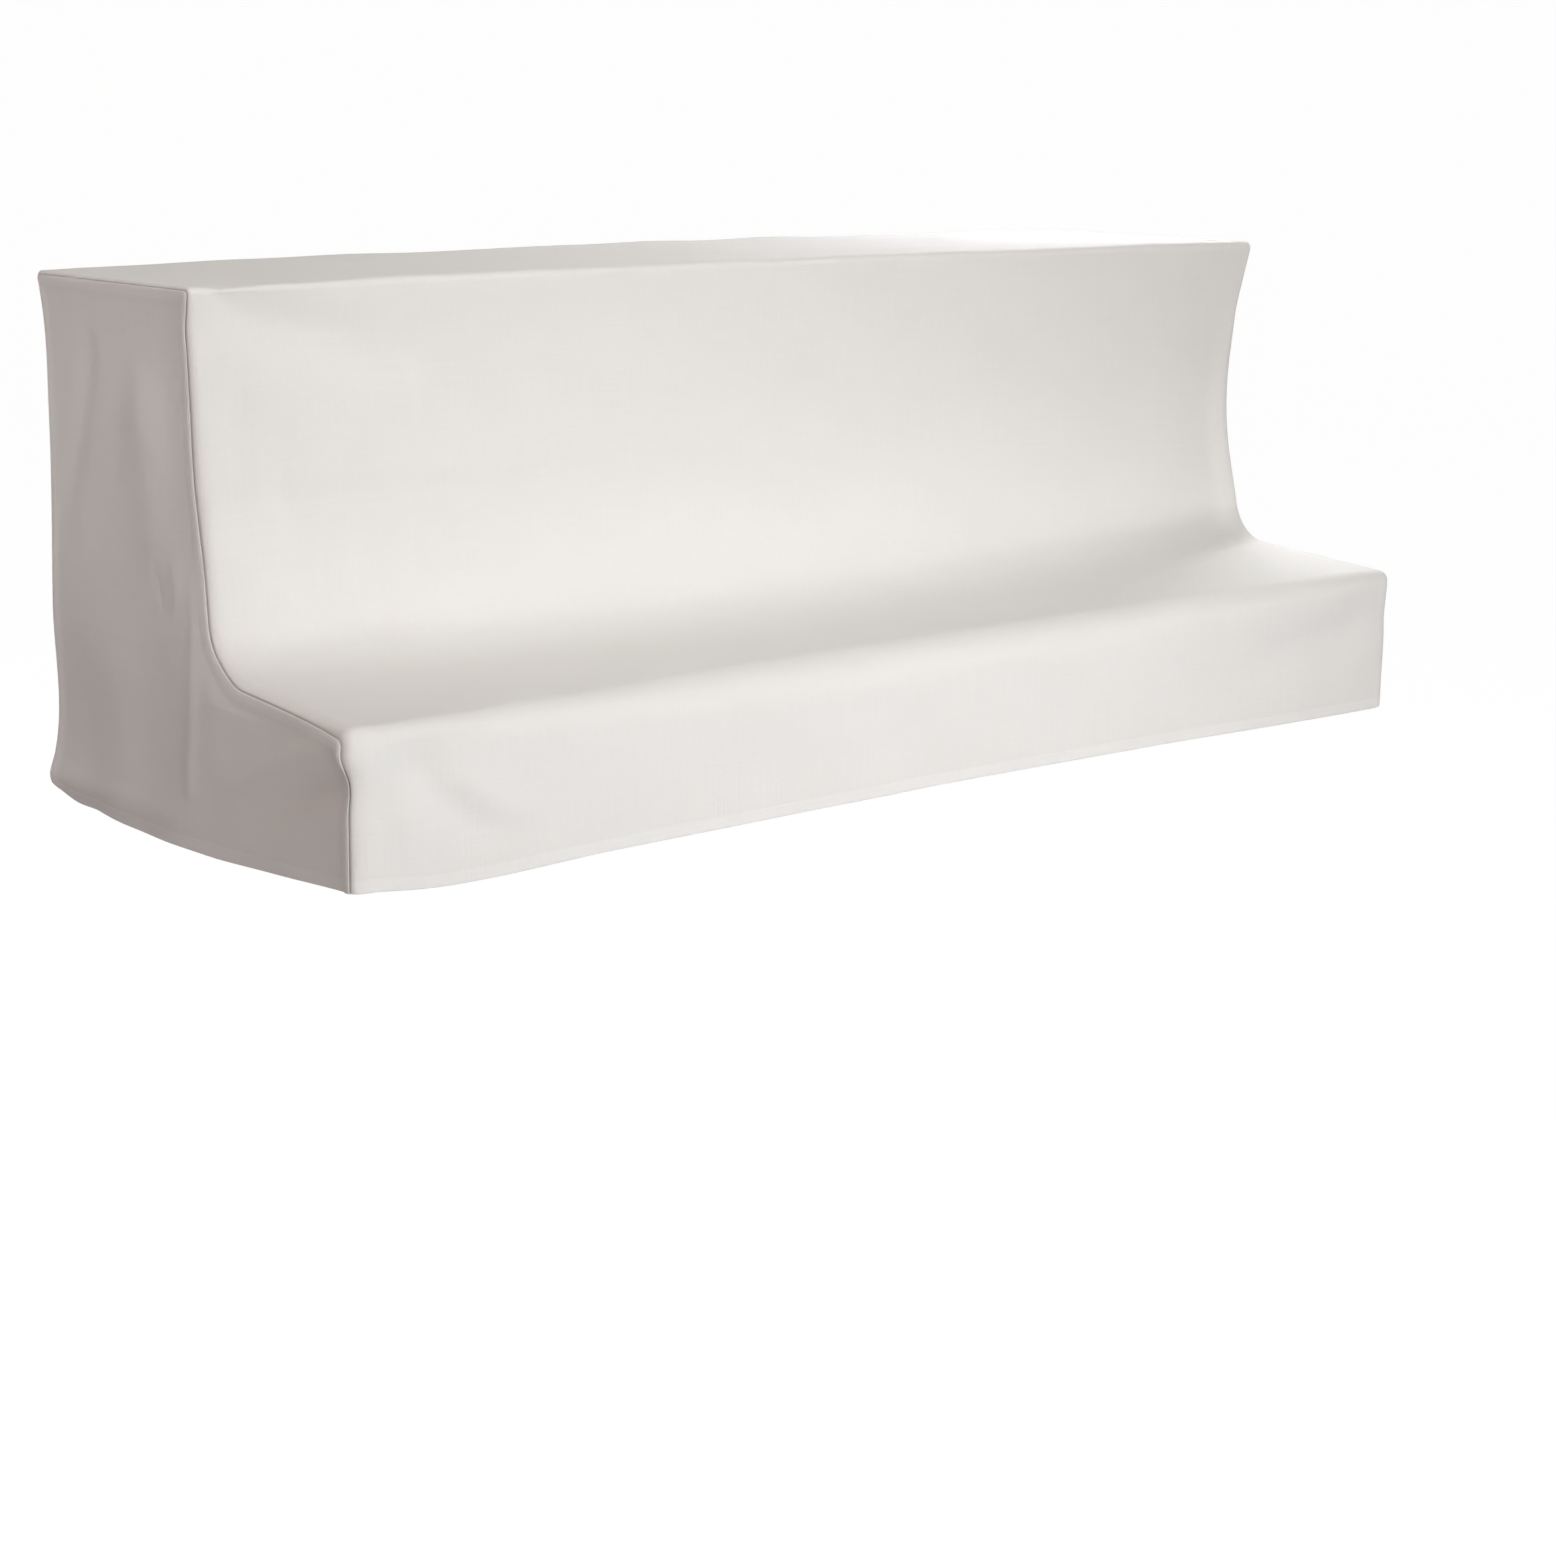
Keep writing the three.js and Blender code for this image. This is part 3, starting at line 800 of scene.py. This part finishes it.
def streaks(finish, place, stretch, seed):
    """Thicker and thinner threads: a noise drawn out along one direction of the cloth."""
    drawn_out = finish.node("ShaderNodeMapping", {}, {
        "Vector": place, "Location": (seed, 0, 0), "Scale": stretch,
    })
    return finish.node("ShaderNodeTexNoise", {}, {
        "Vector": drawn_out, "Scale": 1.0, "Detail": 2.0, "Roughness": 0.5,
    })


def woven_cotton():
    """The cloth's material: painted shade between threads, lighter where the cloth lies double."""
    finish = Finish("cover_cloth")
    place = finish.node("ShaderNodeUVMap", {"uv_map": "cloth"}, {})
    wander = finish.node("ShaderNodeTexNoise", {}, {"Vector": place, "Scale": 45.0, "Detail": 2.0})
    u = finish.node("ShaderNodeSeparateXYZ", {}, {"Vector": place}, 0) + (wander - 0.5) * WANDER_U
    v = finish.node("ShaderNodeSeparateXYZ", {}, {"Vector": place}, 1) + (0.5 - wander) * WANDER_V
    warp, weft = ((x * (math.pi / THREAD_PITCH)).sine() for x in (u, v))
    warp_on_top = (warp * weft * 1.8 + 0.5).limited()
    threads = warp_on_top * warp.size() + (1 - warp_on_top) * weft.size()
    thick = streaks(finish, place, ALONG_WARP, 3) + streaks(finish, place, ALONG_WEFT, 8) - 1.0
    clouds = finish.node("ShaderNodeTexNoise", {}, {"Vector": place, "Scale": 9.0, "Detail": 3.0})
    patches = clouds - 0.5
    doubled = finish.node("ShaderNodeAttribute", {"attribute_name": "doubled"}, {}, FACTOR)

    # Painted shade in the valleys between threads; thick threads and patches are the cloth's own
    # tone.
    shade = (0.42 - threads * 0.22 - thick * 0.22 - patches * 0.22 - doubled * 0.25).limited()
    relief = threads * 0.6 + thick * 0.9
    bump = finish.node("ShaderNodeBump", {}, {
        "Height": relief, "Strength": 0.45, "Distance": THREAD_HEIGHT,
    })
    finish.plug(finish.shader, {
        "Base Color": finish.mixed(shade, CLOTH_LIGHT, CLOTH_SHADE),
        "Roughness": (0.86 + thick * 0.12 + patches * 0.1).limited(),
        "Normal": bump,
        "Specular IOR Level": 0.25,
        "Sheen Weight": 0.12,
        "Sheen Roughness": 0.45,
        "Sheen Tint": (1, 0.98, 0.95, 1),
    })
    return finish.material


cloth = woven_cotton()
print("cloth:", len(cloth.node_tree.nodes), "nodes")

# %% [markdown]
# The thread is the same cotton, twisted tighter, so it is a touch lighter and smoother than the
# cloth. Its twist is a very fine noise in the relief; at this size it only breaks up the highlight.

# %% Sewing thread
THREAD_LIGHT, THREAD_SHADE = (0.84, 0.83, 0.8, 1), (0.78, 0.765, 0.73, 1)
TWIST_HEIGHT = 0.0001  # metres of relief


def sewing_thread():
    """The stitches' material."""
    finish = Finish("sewing_thread")
    place = finish.node("ShaderNodeTexCoord", {}, {}, OBJECT_PLACE)
    twist = finish.node("ShaderNodeTexNoise", {}, {"Vector": place, "Scale": 1500.0, "Detail": 1.0})
    uneven = finish.node("ShaderNodeTexNoise", {}, {"Vector": place, "Scale": 60.0, "Detail": 2.0})
    bump = finish.node("ShaderNodeBump", {}, {
        "Height": twist, "Strength": 0.4, "Distance": TWIST_HEIGHT,
    })
    finish.plug(finish.shader, {
        "Base Color": finish.mixed(uneven, THREAD_LIGHT, THREAD_SHADE),
        "Roughness": 0.62 + twist * 0.15,
        "Normal": bump,
        "Sheen Weight": 0.1,
    })
    return finish.material


thread = sewing_thread()
print("thread:", len(thread.node_tree.nodes), "nodes")

# %% [markdown]
# ## Pieces, nodes and sheets
#
# Each piece of cloth stands in for one imported solid, and rides on the one body. The strip is
# cut as a rectangle, a gable as an L cut from a rectangle. The strip is draped over the piano's
# lid, and the gables hang from it by their seams.

# %% Hand the pieces over
STANDS_FOR = (
    (strip, "main_panel"),
    (gables["left"], "side_panel_left"),
    (gables["right"], "side_panel_right"),
)
for piece, node in STANDS_FOR:
    piece.data.materials.append(cloth)
    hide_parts(node)
    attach(piece, "root")
for stitches in sewn.values():
    stitches.data.materials.append(thread)
    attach(stitches, "root")

print("sheets:", 1 + len(gables))

# %% [markdown]
# ## Stage and light
#
# The stage is one spun shell, so no edge shows from any side, and it glows a little so that it
# stays pale. It neither lights the cover nor shades it: the light comes from area lights. A wide
# ceiling and a wide low bounce give the even part. Smaller windows shape it: one from the upper
# left for the front, one from behind for the lid, a warm and a small cool one for the left gable,
# one for the apron, and two from behind on the right for the far end of the front and the shelf.

# %% Floor and backdrop
STAGE_RADIUS, STAGE_BEND, STAGE_HEIGHT = 14.0, 4.0, 12.0  # metres
STAGE_SIDES, STAGE_BEND_ROWS = 48, 8
FIRST_BEND_ANGLE = 0.2  # radians up the bend to its first row
FLOOR_Z = -1.1787  # the piano's feet stand this far below its lid
MERGE_DISTANCE = 1e-4


def stage_shell():
    """A round floor that curves up into a wall, so that no edge shows from any side."""
    shape = bmesh.new()
    profile = [(0.0, 0.0), (STAGE_RADIUS - STAGE_BEND, 0.0)]
    profile += [(STAGE_RADIUS - STAGE_BEND * (1 - math.sin(a)), STAGE_BEND * (1 - math.cos(a)))
                for a in np.linspace(FIRST_BEND_ANGLE, math.pi / 2, STAGE_BEND_ROWS)]
    profile.append((STAGE_RADIUS, STAGE_HEIGHT))
    line = [shape.verts.new((x, 0, FLOOR_Z + z)) for x, z in profile]
    edges = [shape.edges.new(pair) for pair in zip(line, line[1:])]
    bmesh.ops.spin(shape, geom=line + edges, cent=(0, 0, 0), axis=(0, 0, 1), angle=math.tau,
                   steps=STAGE_SIDES, use_merge=True)
    bmesh.ops.remove_doubles(shape, verts=shape.verts, dist=MERGE_DISTANCE)
    bmesh.ops.recalc_face_normals(shape, faces=shape.faces)
    for face in shape.faces:
        face.smooth = True
    mesh = bpy.data.meshes.new("stage_shell")
    shape.to_mesh(mesh)
    shape.free()
    return mesh


backdrop = bpy.data.objects.new("stage_shell", stage_shell())
bpy.context.scene.collection.objects.link(backdrop)
backdrop.visible_diffuse = False
backdrop.visible_glossy = False
backdrop.visible_shadow = False
pale = Finish("pale_stage")
pale.plug(pale.shader, {
    "Base Color": (0.16, 0.16, 0.16, 1),
    "Roughness": 1.0,
    "Specular IOR Level": 0.0,
    "Emission Color": (1, 1, 1, 1),
    "Emission Strength": 0.94,
})
backdrop.data.materials.append(pale.material)
print("backdrop:", len(backdrop.data.polygons), "faces")

# %% Lights
LIGHTS = [
    # name, place, aimed at, width and height, power, spread in degrees, colour
    ("front_window", (-1.2, -3.4, 1.6), (-0.4, 0, -0.2),
     (1.2, 1.2), 1.6, 35, (0.97, 1.01, 1.02)),
    ("lid_window", (0.4, 1.8, 0.8), (0.35, 0, 0),
     (1.2, 0.4), 1.0, 42, (1.0, 1.0, 1.0)),
    ("low_bounce", (-0.2, -2.6, -0.7), (0, -0.3, -0.5),
     (2.6, 0.5), 30, 180, (0.99, 0.99, 1.01)),
    ("ceiling", (0.2, -0.8, 2.4), (0.2, -0.3, 0),
     (3.0, 2.0), 25.3, 180, (1.0, 1.0, 0.98)),
    ("left_window", (-2.6, -0.7, 0.75), (-0.76, -0.2, -0.35),
     (1.0, 0.7), 3.0, 180, (1.48, 0.83, 0.7)),
    ("gable_window", (-2.6, 0.1, 0.5), (-0.76, 0.05, -0.08),
     (0.5, 0.5), 0.135, 25, (0.94, 1.01, 1.05)),
    ("apron_window", (0.6, -3.4, 0.1), (0.3, -0.4, -0.5),
     (0.9, 0.5), 0.27, 22, (1.0, 1.0, 1.0)),
    ("shelf_window", (1.3, 0.9, 0.5), (0.55, -0.2, -0.3),
     (0.6, 0.5), 1.87, 60, (0.97, 0.98, 1.08)),
    ("right_window", (2.0, 0.7, 0.6), (0.62, -0.3, -0.4),
     (0.6, 0.5), 1.35, 50, (0.98, 1.01, 1.02)),
]
ROOM_COLOUR, ROOM_STRENGTH = (1.05, 1.0, 0.99, 1), 0.289
for name, place, target, size, power, spread, colour in LIGHTS:
    light = bpy.data.objects.new(name, bpy.data.lights.new(name, "AREA"))
    light.data.shape = "RECTANGLE"
    light.data.size, light.data.size_y = size
    light.data.energy = power
    light.data.spread = math.radians(spread)
    light.data.color = colour
    light.location = place
    light.rotation_euler = (Vector(target) - Vector(place)).to_track_quat("-Z", "Y").to_euler()
    light.visible_camera = False
    bpy.context.scene.collection.objects.link(light)

world = bpy.data.worlds.new("studio")
bpy.context.scene.world = world
world.use_nodes = True
background = world.node_tree.nodes["Background"]
background.inputs["Color"].default_value = ROOM_COLOUR
background.inputs["Strength"].default_value = ROOM_STRENGTH
bpy.context.scene.view_settings.view_transform = "Standard"
print(len(LIGHTS), "soft lights")
